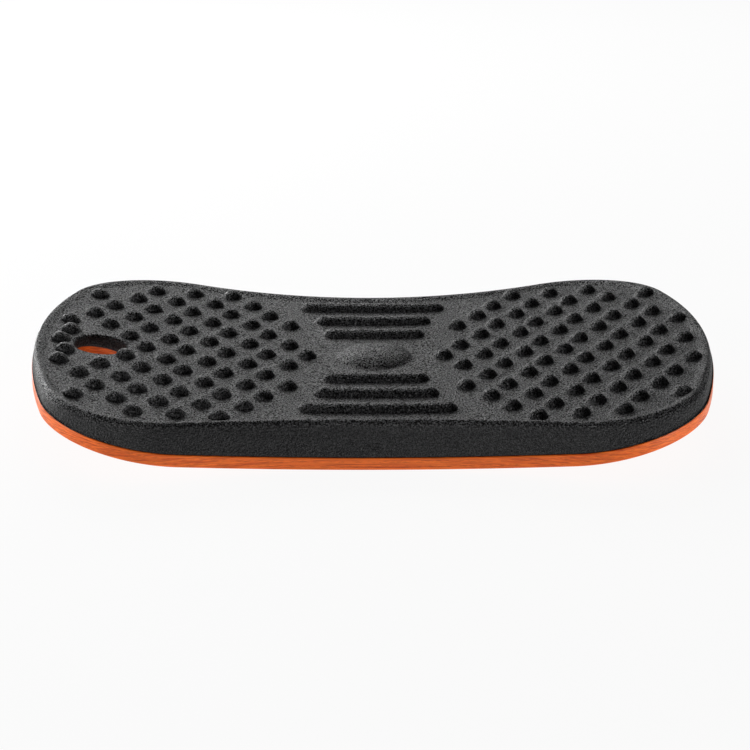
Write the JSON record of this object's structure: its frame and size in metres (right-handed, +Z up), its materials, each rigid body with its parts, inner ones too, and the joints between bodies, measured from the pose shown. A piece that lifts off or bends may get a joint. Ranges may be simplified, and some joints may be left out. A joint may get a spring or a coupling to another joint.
{
  "type": "balance board",
  "caption": "Rocker balance board: foam mat with massage bumps and ridges bonded to a lengthwise-bent plywood base, waisted outline, hand hole at one end.",
  "frame": {"origin": "lowest line of the curved base, under the middle of the board, which is the bottom centre of the bounding box", "axes": "+X along the board's length, with the hand hole at the -X end; +Y across its width; +Z up, from the base to the mat"},
  "size_m": [0.5162, 0.362, 0.0544],
  "materials": {
    "mat_foam": "fine pebbled satin skin on moulded polyurethane foam",
    "glue": "cured adhesive film",
    "face_veneer": "orange-brown stained and lacquered veneer, satin",
    "core_veneer": "stained and sealed veneer edges, satin"
  },
  "bodies": {
    "root": {"massage_mat": "mat_foam", "mat_glue_film": "glue", "base_face_veneer_top": "face_veneer", "base_core_ply_1": "core_veneer", "base_core_ply_2": "core_veneer", "base_core_ply_3": "core_veneer", "base_core_ply_4": "core_veneer", "base_core_ply_5": "core_veneer", "base_face_veneer_bottom": "face_veneer"}
  },
  "joints": []
}
